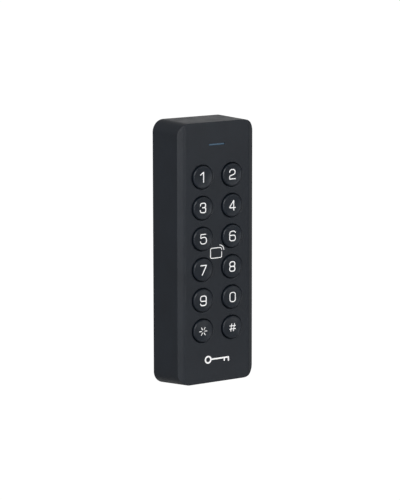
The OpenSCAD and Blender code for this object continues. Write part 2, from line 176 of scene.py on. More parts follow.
def rounded_rect(width, height, radius, centre=(0, 0), steps=8, along=1):
    """Shape of a rectangle with round corners: gives its rim moved inwards by a distance."""
    def rim(inset=0.0):
        points = []
        corners = [(1, 1, 0), (-1, 1, 90), (-1, -1, 180), (1, -1, 270)]
        for sx, sz, start in corners:
            cx = centre[0] + sx * (width / 2 - radius)
            cz = centre[1] + sz * (height / 2 - radius)
            for k in range(steps + 1):
                a = math.radians(start + 90 * k / steps)
                reach = radius - inset
                points.append((cx + reach * math.cos(a), cz + reach * math.sin(a)))
        return subdivide(points, steps + 1, along)
    return rim


def subdivide(points, per_corner, along):
    """Splits the straight run after each corner into equal parts."""
    result = []
    for i, (x, z) in enumerate(points):
        result.append((x, z))
        if (i + 1) % per_corner == 0:
            x1, z1 = points[(i + 1) % len(points)]
            for k in range(1, along):
                t = k / along
                result.append((x + t * (x1 - x), z + t * (z1 - z)))
    return result


def round_shape(radius, centre=(0, 0), steps=64):
    """Shape of a circle, like rounded_rect's."""
    def rim(inset=0.0):
        reach = radius - inset
        turn = [2 * math.pi * k / steps for k in range(steps)]
        return [(centre[0] + reach * math.cos(a), centre[1] + reach * math.sin(a)) for a in turn]
    return rim


def at_y(rim, y):
    return [(x, y, z) for x, z in rim]


def edge_rings(shell, shape, y_face, inward, radius, hole=False, steps=4):
    """Rings of a rounded edge, from the side wall to the face at y_face; inward is +1 or -1 along Y."""
    side = -1 if hole else 1
    rings = []
    for k in range(steps + 1):
        a = math.pi / 2 * k / steps
        inset = side * radius * (1 - math.cos(a))
        rings.append(shell.loop(at_y(shape(inset), y_face + inward * radius * (1 - math.sin(a)))))
    for a, b in zip(rings, rings[1:]):
        shell.bridge(a, b)
    return rings[0], rings[-1]


def plate(shell, outer, holes, y_front, y_back, edge=0.1 * MM, hole_edge=0.05 * MM):
    """A flat plate between two Y positions, with rounded edges."""
    front_side, front_face = edge_rings(shell, outer, y_front, 1, edge)
    back_side, back_face = edge_rings(shell, outer, y_back, -1, edge)
    shell.bridge(front_side, back_side)
    fronts, backs = [], []
    for hole in holes:
        a, face = edge_rings(shell, hole, y_front, 1, hole_edge, hole=True)
        fronts.append(face)
        b, face = edge_rings(shell, hole, y_back, -1, hole_edge, hole=True)
        backs.append(face)
        shell.bridge(a, b)
    shell.fill(front_face, fronts, front_view)
    shell.fill(back_face, backs, front_view)


def turned(shell, profile, centre, steps=96):
    """A closed turned body along Y from points (radius, y); a radius of 0 lies on its axis."""
    rings = []
    for radius, y in profile:
        if radius == 0:
            rings.append(shell.loop([(centre[0], y, centre[1])]))
        else:
            rings.append(shell.loop(at_y(round_shape(radius, centre, steps)(), y)))
    pairs = list(zip(rings, rings[1:]))
    if profile[0][0] > 0:
        pairs.append((rings[-1], rings[0]))
    for a, b in pairs:
        if len(a) == 1:
            shell.fan(b, a[0])
        elif len(b) == 1:
            shell.fan(a, b[0])
        else:
            shell.bridge(a, b)


def arc(centre, radius, start, end, steps=6):
    """Points (radius, y) along an arc given in degrees, for a turned profile."""
    turn = [math.radians(start + (end - start) * k / steps) for k in range(steps + 1)]
    return [(centre[0] + radius * math.cos(a), centre[1] + radius * math.sin(a)) for a in turn]


# ---------- materials ----------

LIGHT_GLOW = 0.2
# Glow of the printed ink: painted light that brightens every printed mark.
INK_PAINTED_GLOW = 0.25


class Nodes:
    """Short calls for the nodes of one procedural material."""

    def __init__(self, name, **values):
        """Values are for the shader's own sockets, with _ for each space in their names."""
        self.material = bpy.data.materials.new(name)
        self.material.use_nodes = True
        self.tree = self.material.node_tree
        self.shader = self.tree.nodes["Principled BSDF"]
        self.place = self.tree.nodes.new("ShaderNodeTexCoord").outputs["Object"]
        for key, value in values.items():
            self.shader.inputs[key.replace("_", " ")].default_value = value

    def new(self, kind, **settings):
        node = self.tree.nodes.new(kind)
        for key, value in settings.items():
            setattr(node, key, value)
        return node

    def link(self, a, b):
        self.tree.links.new(a, b)

    def noise(self, size, detail=3.0, stretch=(1, 1, 1)):
        """Noise with features about as large as size."""
        mapping = self.new("ShaderNodeMapping")
        mapping.inputs["Scale"].default_value = stretch
        self.link(self.place, mapping.inputs["Vector"])
        node = self.new("ShaderNodeTexNoise")
        node.inputs["Scale"].default_value = 1 / size
        node.inputs["Detail"].default_value = detail
        self.link(mapping.outputs["Vector"], node.inputs["Vector"])
        return node.outputs["Fac"]

    def cells(self, size):
        """Distance to the nearest of many scattered points, about size apart."""
        node = self.new("ShaderNodeTexVoronoi")
        node.inputs["Scale"].default_value = 1 / size
        self.link(self.place, node.inputs["Vector"])
        return node.outputs["Distance"]

    def bands(self, size, axis, warp=0.0):
        """Even lines across one axis, each size wide."""
        node = self.new("ShaderNodeTexWave", bands_direction=axis)
        node.inputs["Scale"].default_value = math.pi / (10 * size)
        node.inputs["Distortion"].default_value = warp
        self.link(self.place, node.inputs["Vector"])
        return node.outputs["Fac"]

    def ramp(self, factor, stops):
        """Colours along a factor: stops are (place, colour)."""
        node = self.new("ShaderNodeValToRGB")
        while len(node.color_ramp.elements) < len(stops):
            node.color_ramp.elements.new(0.5)
        for element, (place, colour) in zip(node.color_ramp.elements, stops):
            element.position = place
            element.color = (*colour, 1)
        self.link(factor, node.inputs["Fac"])
        return node.outputs["Color"]

    def remap(self, factor, low, high, start=0.3, end=0.7):
        """Spreads a factor between start and end over the values low to high."""
        node = self.new("ShaderNodeMapRange")
        for key, value in (("From Min", start), ("From Max", end), ("To Min", low), ("To Max", high)):
            node.inputs[key].default_value = value
        self.link(factor, node.inputs["Value"])
        return node.outputs["Result"]

    def mix(self, factor, a, b):
        """Colour between a and b, each a socket or a colour."""
        node = self.new("ShaderNodeMix", data_type="RGBA")
        for source, target in ((factor, node.inputs[0]), (a, node.inputs[6]), (b, node.inputs[7])):
            if isinstance(source, tuple):
                target.default_value = (*source, 1)
            else:
                self.link(source, target)
        return node.outputs[2]

    def bump(self, height, depth, strength=1.0):
        node = self.new("ShaderNodeBump")
        node.inputs["Distance"].default_value = depth
        node.inputs["Strength"].default_value = strength
        self.link(height, node.inputs["Height"])
        return node.outputs["Normal"]

    def colour(self, socket):
        self.link(socket, self.shader.inputs["Base Color"])

    def roughness(self, socket):
        self.link(socket, self.shader.inputs["Roughness"])

    def normal(self, socket):
        self.link(socket, self.shader.inputs["Normal"])


def shade(colour, factor):
    return tuple(min(1.0, c * factor) for c in colour)


def moulded(name, colour, rough, grain=0.22 * MM, depth=0.012 * MM, spread=0.12):
    """Moulded plastic or rubber: a fine grain, slow colour drift and uneven gloss."""
    n = Nodes(name)
    drift = n.noise(14 * MM, 4)
    n.colour(n.ramp(drift, [(0.3, shade(colour, 1 - spread)), (0.7, shade(colour, 1 + spread))]))
    n.roughness(n.remap(n.noise(5 * MM, 5), rough - 0.04, rough + 0.04))
    n.normal(n.bump(n.noise(grain, 2), depth))
    return n.material


def metal(name, colour, rough, stretch=(1, 1, 1), tint=None):
    """Plated or turned metal: fine marks, drawn out along one direction, and a slow tint."""
    n = Nodes(name, Metallic=1.0)
    tint = tint or shade(colour, 0.82)
    n.colour(n.ramp(n.noise(6 * MM, 5), [(0.32, tint), (0.68, colour)]))
    marks = n.noise(0.3 * MM, 6, stretch)
    n.roughness(n.remap(marks, rough - 0.08, rough + 0.1))
    n.normal(n.bump(marks, 0.004 * MM))
    return n.material


def ink_material():
    """White ink with a faint painted glow, the same on the key numbers and on the signs on the front."""
    n = Nodes("ink", Emission_Color=(1, 1, 1, 1), Emission_Strength=INK_PAINTED_GLOW)
    n.colour(n.ramp(n.noise(0.8 * MM, 3), [(0.3, (0.9, 0.9, 0.9)), (0.7, (0.95, 0.95, 0.95))]))
    n.roughness(n.remap(n.noise(0.3 * MM), 0.45, 0.6))
    n.normal(n.bump(n.noise(0.12 * MM), 0.003 * MM))
    return n.material


def board_material():
    """Green solder mask over copper: fine runs of tracks, and small round vias."""
    n = Nodes("circuit_board")
    mask, track, gold = (0.012, 0.085, 0.035), (0.03, 0.17, 0.07), (0.62, 0.43, 0.14)
    across = n.bands(0.9 * MM, "X", 2.5)
    along = n.bands(0.9 * MM, "Z", 2.5)
    area = n.remap(n.noise(11 * MM, 1), 0, 1, 0.48, 0.52)
    stops = [(0.62, mask), (0.68, track)]
    runs = n.mix(area, n.ramp(across, stops), n.ramp(along, stops))
    vias = n.ramp(n.cells(4.2 * MM), [(0.055, (1, 1, 1)), (0.065, (0, 0, 0))])
    n.colour(n.mix(vias, runs, gold))
    n.roughness(n.remap(n.noise(0.8 * MM, 2), 0.28, 0.4))
    n.normal(n.bump(across, 0.01 * MM, 0.5))
    return n.material


def coil_material():
    """Turns of enamelled wire lying side by side."""
    n = Nodes("copper_wire", Metallic=1.0)
    turns = n.bands(0.2 * MM, "Y")
    n.colour(n.mix(n.remap(n.noise(3 * MM), 0, 1), (0.52, 0.17, 0.06), (0.68, 0.29, 0.12)))
    n.roughness(n.remap(turns, 0.28, 0.42, 0, 1))
    n.normal(n.bump(turns, 0.05 * MM))
    return n.material


def light_material():
    """Blue diffuser bar with a faint, slightly cloudy glow."""
    n = Nodes("light_guide", Emission_Strength=LIGHT_GLOW)
    haze = n.noise(1.5 * MM, 3)
    n.colour(n.ramp(haze, [(0.35, (0.065, 0.117, 0.178)), (0.65, (0.104, 0.171, 0.237))]))
    glow = n.ramp(haze, [(0.3, (0.058, 0.126, 0.207)), (0.7, (0.091, 0.171, 0.252))])
    n.link(glow, n.shader.inputs["Emission Color"])
    n.roughness(n.remap(n.noise(0.4 * MM), 0.25, 0.35))
    return n.material


def silicone_material():
    """Milky silicone with a dusty bloom."""
    n = Nodes("silicone", Subsurface_Weight=0.35, Subsurface_Scale=0.8 * MM)
    n.colour(n.ramp(n.noise(9 * MM, 4), [(0.3, (0.42, 0.43, 0.44)), (0.7, (0.55, 0.56, 0.57))]))
    n.roughness(n.remap(n.noise(1.2 * MM, 4), 0.45, 0.62))
    n.normal(n.bump(n.noise(0.3 * MM), 0.006 * MM))
    return n.material


def package_material():
    """LED package: white body with a yellowish window."""
    n = Nodes("led_package")
    n.colour(n.ramp(n.cells(1.1 * MM), [(0.2, (0.82, 0.72, 0.34)), (0.5, (0.8, 0.8, 0.76))]))
    n.roughness(n.remap(n.noise(0.3 * MM), 0.2, 0.32))
    return n.material


MATERIALS = {
    "housing_plastic": moulded("housing_plastic", (0.0096, 0.0138, 0.0208), 0.46),
    "key_plastic": moulded("key_plastic", (0.0094, 0.0140, 0.0216), 0.32, 0.3 * MM, 0.006 * MM),
    "ink": ink_material(),
    "light_guide": light_material(),
    "silicone": silicone_material(),
    "carbon_rubber": moulded("carbon_rubber", (0.012, 0.012, 0.012), 0.75, 0.12 * MM),
    "circuit_board": board_material(),
    "led_package": package_material(),
    "former_plastic": moulded("former_plastic", (0.6, 0.56, 0.47), 0.42, spread=0.06),
    "copper_wire": coil_material(),
    "chip_black": moulded("chip_black", (0.013, 0.013, 0.014), 0.55, 0.08 * MM, 0.01 * MM),
    "bright_steel": metal("bright_steel", (0.62, 0.63, 0.64), 0.3),
    "gold_contacts": metal("gold_contacts", (0.83, 0.6, 0.22), 0.22),
    "brass": metal("brass", (0.72, 0.52, 0.21), 0.28, (1, 12, 1)),
    "cover_plastic": moulded("cover_plastic", (0.016, 0.017, 0.019), 0.55, 0.35 * MM, 0.03 * MM),
    "black_rubber": moulded("black_rubber", (0.009, 0.009, 0.0095), 0.7, 0.15 * MM, 0.01 * MM),
    "bracket_steel": metal("bracket_steel", (0.56, 0.57, 0.58), 0.34, (9, 1, 1), (0.47, 0.5, 0.5)),
}


def finish_piece(piece, body, slot, *nodes):
    """Puts a piece on its body and hides the CAD nodes it stands for. Its slot is not used."""
    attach(piece, body)
    if nodes:
        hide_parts(*nodes)


# ---------- housing ----------

HOUSING_EDGE_R = 0.35 * MM
RIM_EDGE_R = 0.2 * MM
HOLE_EDGE_R = 0.6 * MM
OUTLINE_STEPS = 28
OUTLINE_ALONG = 6
SLOT_W = 9.8 * MM
SLOT_H = 0.9 * MM
SLOT_EDGE_R = 0.1 * MM
LOCK_HOLE_R = 1.8 * MM
LOCK_SINK_R = 3.0 * MM
LOCK_SINK_T = 1.2 * MM
LOCK_BORE_R = 3.2 * MM
POST_ROOT = 0.3 * MM
COVER_POST_R = 2.6 * MM
COVER_POST_BORE_R = 1.25 * MM
COVER_POST_BORE_T = 9.5 * MM
COVER_POST_END = -8.0 * MM
COVER_SCREW_R = 2.1 * MM
BOARD_POST_R = 2.4 * MM
BOARD_POST_BORE_R = 1.0 * MM
BOARD_POST_FLOOR = 0.7 * MM
LEDGE_W = 3.2 * MM
LEDGE_H = 2.4 * MM
LEDGE_R = 0.3 * MM
LEDGE_IN = 1.3 * MM
LEDGE_PITCH = 32 * MM
BOARD_SEAT = 0.06 * MM
FLAT_INSET = CORNER_R - 0.05 * MM
# Rings of the front skin, in mm from the outline: closest where the bevel blends into the flat.
SKIN_INSETS = [0.7, 1.2, 1.8, 2.4, 2.7, 2.95, 3.2, 3.45, 3.7, 3.95, 4.2, 4.4, 4.8, 5.4, 6.0]


def skin_y(x, inset=0.0):
    """Y of the front skin at x: flat, then a round blend and a bevel at each long edge."""
    past = abs(x) - (HALF_W - inset - BEVEL_W - BLEND_W)
    front = FRONT_Y + inset
    if past <= 0:
        return front
    blend_r = BLEND_W / math.sin(BEVEL_ANGLE)
    if past <= BLEND_W:
        return front + blend_r - math.sqrt(blend_r ** 2 - past ** 2)
    return front + blend_r * (1 - math.cos(BEVEL_ANGLE)) + (past - BLEND_W) * math.tan(BEVEL_ANGLE)


def skin_slope(x):
    """How fast the front skin falls back at x."""
    step = 0.01 * MM
    return (skin_y(abs(x) + step) - skin_y(abs(x) - step)) / (2 * step)


def crisp_edge(shell, outline, steps=5):
    """Rings of the small fillet where the front skin meets the side walls, whatever their angle."""
    outer, unit = outline(0.0), outline(1.0 * MM)
    rings = []
    for k in range(steps + 1):
        ring = []
        for (x, z), (x1, z1) in zip(outer, unit):
            nx, nz = (x - x1) / MM, (z - z1) / MM
            slope = skin_slope(x) * abs(nx)
            length = math.hypot(1, slope)
            middle = skin_y(x) + HOUSING_EDGE_R * (length - slope)
            a = math.atan2(1, slope) * k / steps
            inset = HOUSING_EDGE_R * (1 - math.cos(a))
            ring.append((x - nx * inset, middle - HOUSING_EDGE_R * math.sin(a), z - nz * inset))
        rings.append(shell.loop(ring))
    for a, b in zip(rings, rings[1:]):
        shell.bridge(a, b)
    return rings[0], rings[-1]


def skin_rings(shell, outline, first, start, inset):
    """Rings from an edge in to the flat middle of the front skin, moved inwards by inset."""
    last = first
    for d in [s * MM for s in SKIN_INSETS if s * MM > start + 0.2 * MM]:
        ring = shell.loop([(x, skin_y(x, inset), z) for x, z in outline(d)])
        shell.bridge(last, ring)
        last = ring
    ring = shell.loop(at_y(outline(FLAT_INSET), FRONT_Y + inset))
    shell.bridge(last, ring)
    return ring


def foot_z(y, z=-HALF_H):
    """Z of a point of the lower end once the underside slopes down towards the wall."""
    return z - FOOT_SLOPE * max(0, y - FRONT_Y) if z < CORNER_R - HALF_H else z


def opening(shell, shape, edge_r):
    """A hole through the front wall: its rounded front rim, its bore and its inner rim."""
    side, face = edge_rings(shell, shape, FRONT_Y, 1, edge_r, hole=True, steps=5)
    back = shell.loop(at_y(shape(), FRONT_Y + WALL))
    shell.bridge(side, back)
    return face, back


def lock_screw_hole(shell):
    """Rings of the counterbored, countersunk hole in the underside, from its mouth to the inner face."""
    screw = box_centre("lock_screw")
    rim = {r: round_shape(r, (screw.x, screw.y), 48)() for r in (LOCK_BORE_R, LOCK_SINK_R, LOCK_HOLE_R)}
    rings = [shell.loop([(x, y, foot_z(y)) for x, y in rim[LOCK_BORE_R]])]
    steps = [(LOCK_BORE_R, 0), (LOCK_SINK_R, 0), (LOCK_HOLE_R, LOCK_SINK_T), (LOCK_HOLE_R, WALL)]
    for radius, rise in steps:
        rings.append(shell.loop([(x, y, rise - HALF_H) for x, y in rim[radius]]))
    for a, b in zip(rings, rings[1:]):
        shell.bridge(a, b)
    return rings[0], rings[-1]


def side_walls(shell, front, back, low, high, hole):
    """Walls between two loops; the flat bottom one, from point low to point high, has a round hole."""
    bottom = front[low:high + 1] + back[low:high + 1][::-1]
    shell.fill(bottom, [hole], lambda p: (p[0], p[1]))
    rest = list(range(high, len(front))) + list(range(0, low + 1))
    shell.bridge([front[i] for i in rest], [back[i] for i in rest], closed=False)


def post(shell, centre, radius, bore_r, root, end, floor):
    """A round post from root to end, with a blind hole that reaches in to floor."""
    profile = [(0, root), (radius, root), (radius, end)]
    profile += [(bore_r, end), (bore_r, floor), (0, floor)]
    turned(shell, profile, centre, 40)


def build_housing():
    """The whole front shell: skin, walls, holes, posts and ledges, in one piece."""
    shell = Shell()
    outline = rounded_rect(2 * HALF_W, 2 * HALF_H, CORNER_R, steps=OUTLINE_STEPS, along=OUTLINE_ALONG)
    high = 3 * (OUTLINE_STEPS + OUTLINE_ALONG)
    low = high - OUTLINE_ALONG

    edge_side, edge_face = crisp_edge(shell, outline)
    front_rim = skin_rings(shell, outline, edge_face, HOUSING_EDGE_R, 0.0)
    rim_outer, rim_flat = edge_rings(shell, outline, RIM_Y, -1, RIM_EDGE_R)
    shell.points = [(x, y, foot_z(y, z)) for x, y, z in shell.points]
    rim_inner, rim_flat_inner = edge_rings(
        shell, lambda inset: outline(WALL - inset), RIM_Y, -1, RIM_EDGE_R)
    shell.bridge(rim_flat, rim_flat_inner)
    inner_side = shell.loop([(x, skin_y(x, WALL), z) for x, z in outline(WALL)])
    back_rim = skin_rings(shell, outline, inner_side, WALL, WALL)

    mouth, inner_mouth = lock_screw_hole(shell)
    side_walls(shell, edge_side, rim_outer, low, high, mouth)
    side_walls(shell, inner_side, rim_inner, low, high, inner_mouth)

    # Key holes and the light slot.
    fronts, backs = [], []
    for key in KEYS:
        front, back = opening(shell, round_shape(HOLE_R, key_centre(key), 96), HOLE_EDGE_R)
        fronts.append(front)
        backs.append(back)
    slot_z = box_centre("indicator_light_guide").z
    slot = rounded_rect(SLOT_W, SLOT_H, SLOT_H / 2 - 0.001 * MM, (0, slot_z), steps=10)
    front, back = opening(shell, slot, SLOT_EDGE_R)
    shell.fill(front_rim, fronts + [front], front_view)
    shell.fill(back_rim, backs + [back], front_view)

    # Posts for the rear cover and the boards, rooted in the front wall, and the board's side ledges.
    root = FRONT_Y + WALL - POST_ROOT
    board_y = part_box("keypad_board")[0].y + BOARD_SEAT
    cover_post_y = min(COVER_POST_END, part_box("rear_cover")[0].y)
    lo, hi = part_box("cover_screws")
    for x in (lo.x + COVER_SCREW_R, hi.x - COVER_SCREW_R):
        for z in (lo.z + COVER_SCREW_R, hi.z - COVER_SCREW_R):
            post(shell, (x, z), COVER_POST_R, COVER_POST_BORE_R, root, cover_post_y,
                 cover_post_y - COVER_POST_BORE_T)
    for z in spacer_rows():
        post(shell, (0, z), BOARD_POST_R, BOARD_POST_BORE_R, root, board_y, root + BOARD_POST_FLOOR)
    ledge_x = HALF_W - WALL - LEDGE_IN
    for side in (-1, 1):
        for row in (-1, 0, 1):
            place = (side * ledge_x, row * LEDGE_PITCH)
            plate(shell, rounded_rect(LEDGE_W, LEDGE_H, LEDGE_R, place, steps=3), [], root, board_y)

    piece = shell.build("housing_shell", MATERIALS["housing_plastic"], sharp=40)
    finish_piece(piece, "housing", "housing_plastic", "front_housing")


build_housing()

# ---------- keys ----------

FLANGE_R = 7.3 * MM
FLANGE_T = 1.0 * MM
PUSHER_R = 2.6 * MM
PUSHER_T = 0.5 * MM
SMALL_EDGE = 0.12 * MM
DISH_RINGS = 14
DOT_R = 0.45 * MM
DOT_EDGE_R = 0.2 * MM
DOT_T = 0.6 * MM
DOT_ABOVE = 4.3 * MM


def dish_y(distance):
    """Y of the dished face of a key at a distance from its middle."""
    return KEY_TOP_Y + KEY_DISH - (DISH_R - math.sqrt(DISH_R ** 2 - distance ** 2))


def build_keycap(key):
    """Dished cap with its flange and its pusher, and the raised dot on the 5."""
    lo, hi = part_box("keycap_" + key)
    centre = key_centre(key)
    flange_back = hi.y - PUSHER_T
    flange_front = flange_back - FLANGE_T
    reaches = [DISH_SPAN * k / DISH_RINGS for k in range(DISH_RINGS)]
    profile = [(reach, dish_y(reach)) for reach in reaches]
    profile += arc((DISH_SPAN, KEY_TOP_Y + KEY_EDGE_R), KEY_EDGE_R, -90, 0, 10)
    profile += [(KEY_R, flange_front - SMALL_EDGE)]
    profile += [(FLANGE_R - SMALL_EDGE, flange_front), (FLANGE_R, flange_front + SMALL_EDGE)]
    profile += [(FLANGE_R, flange_back - SMALL_EDGE), (FLANGE_R - SMALL_EDGE, flange_back)]
    profile += [(PUSHER_R, flange_back), (PUSHER_R, hi.y - SMALL_EDGE)]
    profile += [(PUSHER_R - SMALL_EDGE, hi.y), (0, hi.y)]
    shell = Shell()
    turned(shell, profile, centre)
    if key == "5":
        dot = [(0, lo.y)] + arc((DOT_R - DOT_EDGE_R, lo.y + DOT_EDGE_R), DOT_EDGE_R, -90, 0)
        dot += [(DOT_R, lo.y + DOT_T), (0, lo.y + DOT_T)]
        turned(shell, dot, (centre[0], centre[1] + DOT_ABOVE), 32)
    piece = shell.build("keycap_" + key + "_cap", MATERIALS["key_plastic"], sharp=40)
    finish_piece(piece, "key_" + key, "key_plastic", "keycap_" + key)


for key in KEYS:
    build_keycap(key)

# ---------- printed signs ----------

INK_T = 0.02 * MM
ROUND_STEP = math.radians(12)
CAP_STEPS = 12
CARD_STROKE = 0.195
MARK_STROKE = 0.4
MARK_Z = -55.7 * MM


def rounded_path(corners):
    """Centre line through corners (x, z, radius) in mm, each corner rounded by its radius."""
    points = []
    for i, (x, z, radius) in enumerate(corners):
        here = Vector((x, z))
        if radius == 0 or i in (0, len(corners) - 1):
            points.append(here)
            continue
        back = (Vector(corners[i - 1][:2]) - here).normalized()
        on = (Vector(corners[i + 1][:2]) - here).normalized()
        half = back.angle(on) / 2
        reach = radius / math.tan(half)
        middle = here + (back + on).normalized() * radius / math.sin(half)
        first, last = here + back * reach - middle, here + on * reach - middle
        sweep = first.angle_signed(last)
        count = max(2, math.ceil(abs(sweep) / ROUND_STEP))
        for k in range(count + 1):
            points.append(middle + Matrix.Rotation(-sweep * k / count, 2) @ first)
    return points


def segment_distance(point, a, b):
    run = b - a
    t = max(0.0, min(1.0, (point - a).dot(run) / max(run.length_squared, 1e-12)))
    return (point - a - run * t).length


def stroke_rims(path, half):
    """Capsule rims round each straight run of a centre line; half is half the stroke's width."""
    rims = []
    reach = half / math.cos(math.pi / (2 * CAP_STEPS))
    for a, b in zip(path, path[1:]):
        if (b - a).length < 1e-6:
            continue
        turn = math.atan2(b.y - a.y, b.x - a.x)
        rim = []
        for end, start in ((b, turn - math.pi / 2), (a, turn + math.pi / 2)):
            for k in range(CAP_STEPS + 1):
                angle = start + math.pi * k / CAP_STEPS
                way = Vector((math.cos(angle), math.sin(angle)))
                rim.append(end + way * (half if k in (0, CAP_STEPS) else reach))
        rims.append(rim)
    return rims


def build_sign(name, paths, half, centre, surface, body, slot):
    """Flat printed sign: the union of strokes (paths in mm), laid just above a surface."""
    rims = [rim for path in paths for rim in stroke_rims(path, half)]
    points, edges = [], []
    for rim in rims:
        first = len(points)
        points += rim
        edges += [(first + i, first + (i + 1) % len(rim)) for i in range(len(rim))]
    points, _, triangles, _, _, _ = delaunay_2d_cdt(points, edges, [], 1, 1e-5)
    runs = [(a, b) for path in paths for a, b in zip(path, path[1:])]
    kept = []
    for triangle in triangles:
        middle = sum((points[i] for i in triangle), Vector((0, 0))) / 3
        if min(segment_distance(middle, a, b) for a, b in runs) < half:
            kept.append(triangle)
    shell = Shell()
    used = sorted({i for triangle in kept for i in triangle})
    number = {i: k for k, i in enumerate(used)}
    places = [(points[i].x * MM, points[i].y * MM) for i in used]
    for lift in (INK_T, -INK_T / 2):
        shell.loop([(centre[0] + x, surface(x, z) - lift, centre[1] + z) for x, z in places])

    # Front and back faces, and a narrow side along each edge that only one triangle has.
    below = len(used)
    rim_edges = {}
    for triangle in kept:
        corners = [number[i] for i in triangle]
        shell.faces.append(tuple(corners))
        shell.faces.append(tuple(c + below for c in reversed(corners)))
        for pair in zip(corners, corners[1:] + corners[:1]):
            edge = frozenset(pair)
            rim_edges[edge] = None if edge in rim_edges else pair
    for pair in rim_edges.values():
        if pair:
            a, b = pair
            shell.faces.append((b, a, a + below, b + below))
    piece = shell.build(name, MATERIALS["ink"], sharp=30, weighted=False)
    finish_piece(piece, body, slot)


def on_circle(centre, radius, degrees):
    """Point of a circle at an angle from its right."""
    a = math.radians(degrees)
    return Vector(centre) + Vector((math.cos(a), math.sin(a))) * radius


def arms(count, inner, outer, centre):
    """Separate straight arms round a centre."""
    turns = [360 * k / count for k in range(count)]
    return [[on_circle(centre, inner, turn), on_circle(centre, outer, turn)] for turn in turns]


def box_path(left, right, low, high, radius):
    """Closed rounded outline, which starts and ends in the middle of its top."""
    middle = (left + right) / 2
    corners = [(middle, high, 0), (right, high, radius), (right, low, radius)]
    corners += [(left, low, radius), (left, high, radius), (middle, high, 0)]
    return rounded_path(corners)


def line(*corners):
    """Centre line through corners (x, z) or (x, z, radius), in millimetres."""
    return rounded_path([c if len(c) == 3 else (*c, 0) for c in corners])


SIGNS = {
    "1": [line((-1.5, 1.3), (0.22, 2.55)), line((0.28, 2.55), (0.32, -2.5))],
    "2": [line((-1.72, 1.45), (-1.72, 2.68, 1.3), (1.62, 2.68, 1.35), (1.62, 0.3, 1.25), (-1.74, -0.62, 0.9),
               (-1.74, -2.2, 0.1), (1.75, -2.2))],
    "3": [line((-1.62, 1.35), (-1.62, 2.65, 0.95), (1.5, 2.65, 0.95), (1.5, 0.37, 0.85), (-0.3, 0.37)),
          line((0.6, 0.37), (1.62, 0.37, 0.95), (1.62, -2.2, 1.0), (-1.72, -2.2, 1.1), (-1.72, -0.95))],
    "4": [line((0.72, 2.5), (-1.9, -1.18, 0.3), (1.85, -1.22)), line((0.82, 2.5), (0.84, -2.5))],
    "5": [line((1.55, 2.48), (-1.42, 2.48, 0.1), (-1.42, 0.42, 0.15), (-0.55, 0.95, 0.4), (2.0, 0.95, 1.35),
               (2.0, -2.42, 1.4), (-1.6, -2.42, 1.2), (-1.6, -1.25))],
    "6": [line((1.85, 1.75), (1.15, 2.55, 0.5), (-1.68, 2.55, 1.35), (-1.68, -2.42, 1.1), (1.84, -2.42, 1.1),
               (1.84, 0.4, 1.1), (-1.4, 0.4))],
    "7": [line((-1.45, 2.3), (2.0, 2.32, 0.15), (-0.62, -2.62))],
    "8": [box_path(-1.6, 1.5, 0.08, 2.5, 1.05), box_path(-1.68, 1.56, -2.42, 0.08, 1.1)],
    "9": [line((-1.72, -1.7), (-1.1, -2.62, 0.6), (1.82, -2.62, 1.2), (1.82, 2.35, 1.2), (-1.62, 2.35, 1.15),
               (-1.62, -0.42, 1.0), (1.6, -0.42))],
    "0": [box_path(-1.5, 1.85, -2.5, 2.36, 1.3)],
    "star": arms(6, 0.95, 2.25, (0.02, -0.18)),
    "hash": [line((-1.02, -2.0), (-0.3, 1.75)), line((0.72, -2.0), (1.38, 1.75)),
             line((-1.6, 0.75), (1.95, 0.68)), line((-1.65, -0.95), (1.95, -0.95))],
}
# Half the width of each sign's strokes, in mm.
STROKE = {"star": 0.2, "hash": 0.21, "2": 0.25, "4": 0.25, "5": 0.24, "6": 0.24, "0": 0.24}
PLAIN_STROKE = 0.27


def on_dish(x, z):
    """Y of a key's face at a place measured from its middle."""
    return dish_y(math.hypot(x, z))


def on_front(x, z):
    """Y of the front's flat middle, the same at every place."""
    return FRONT_Y


for key in KEYS:
    build_sign("number_" + key, SIGNS[key], STROKE.get(key, PLAIN_STROKE), key_centre(key), on_dish,
               "key_" + key, "key_plastic")

# A card with a radio wave at one corner, and a plain key low on the front.
wave = [on_circle((1.4, 1.25), 2.72, turn) for turn in range(2, 92, 6)]
card = line((2.78, 1.42), (2.78, 2.63, 1.15), (-4.08, 2.63, 0.9), (-4.08, -2.6, 0.85), (2.78, -2.6, 0.85),
            (2.78, 0.32))
build_sign("card_sign", [card, wave], CARD_STROKE, (0, 0), on_front, "housing", "housing_plastic")
bow = [on_circle((-5.6, 0), 1.7, turn) for turn in range(0, 361, 15)]
shaft = line((-3.9, 0), (7.0, 0), (7.0, -1.7))
tooth = line((4.4, 0), (4.4, -1.4))
build_sign("key_sign", [bow, shaft, tooth], MARK_STROKE, (0, MARK_Z), on_front, "housing", "housing_plastic")

# ---------- key mat ----------

DOME_BASE_R = 4.6 * MM
DOME_FOOT_R = 4.75 * MM
DOME_FOOT_T = 0.1 * MM
DOME_TOP_R = 3.1 * MM
DOME_TOP_T = 0.5 * MM
DOME_EDGE_R = 0.25 * MM
DOME_ROOM_R = 2.75 * MM
DOME_HOLE_R = 4.1 * MM
MAT_T = 0.98 * MM
MAT_CORNER_R = 3 * MM
MAT_POST_HOLE_R = 2.7 * MM
MAT_LIGHT_HOLE_W = 2.4 * MM
MAT_LIGHT_HOLE_H = 3.2 * MM


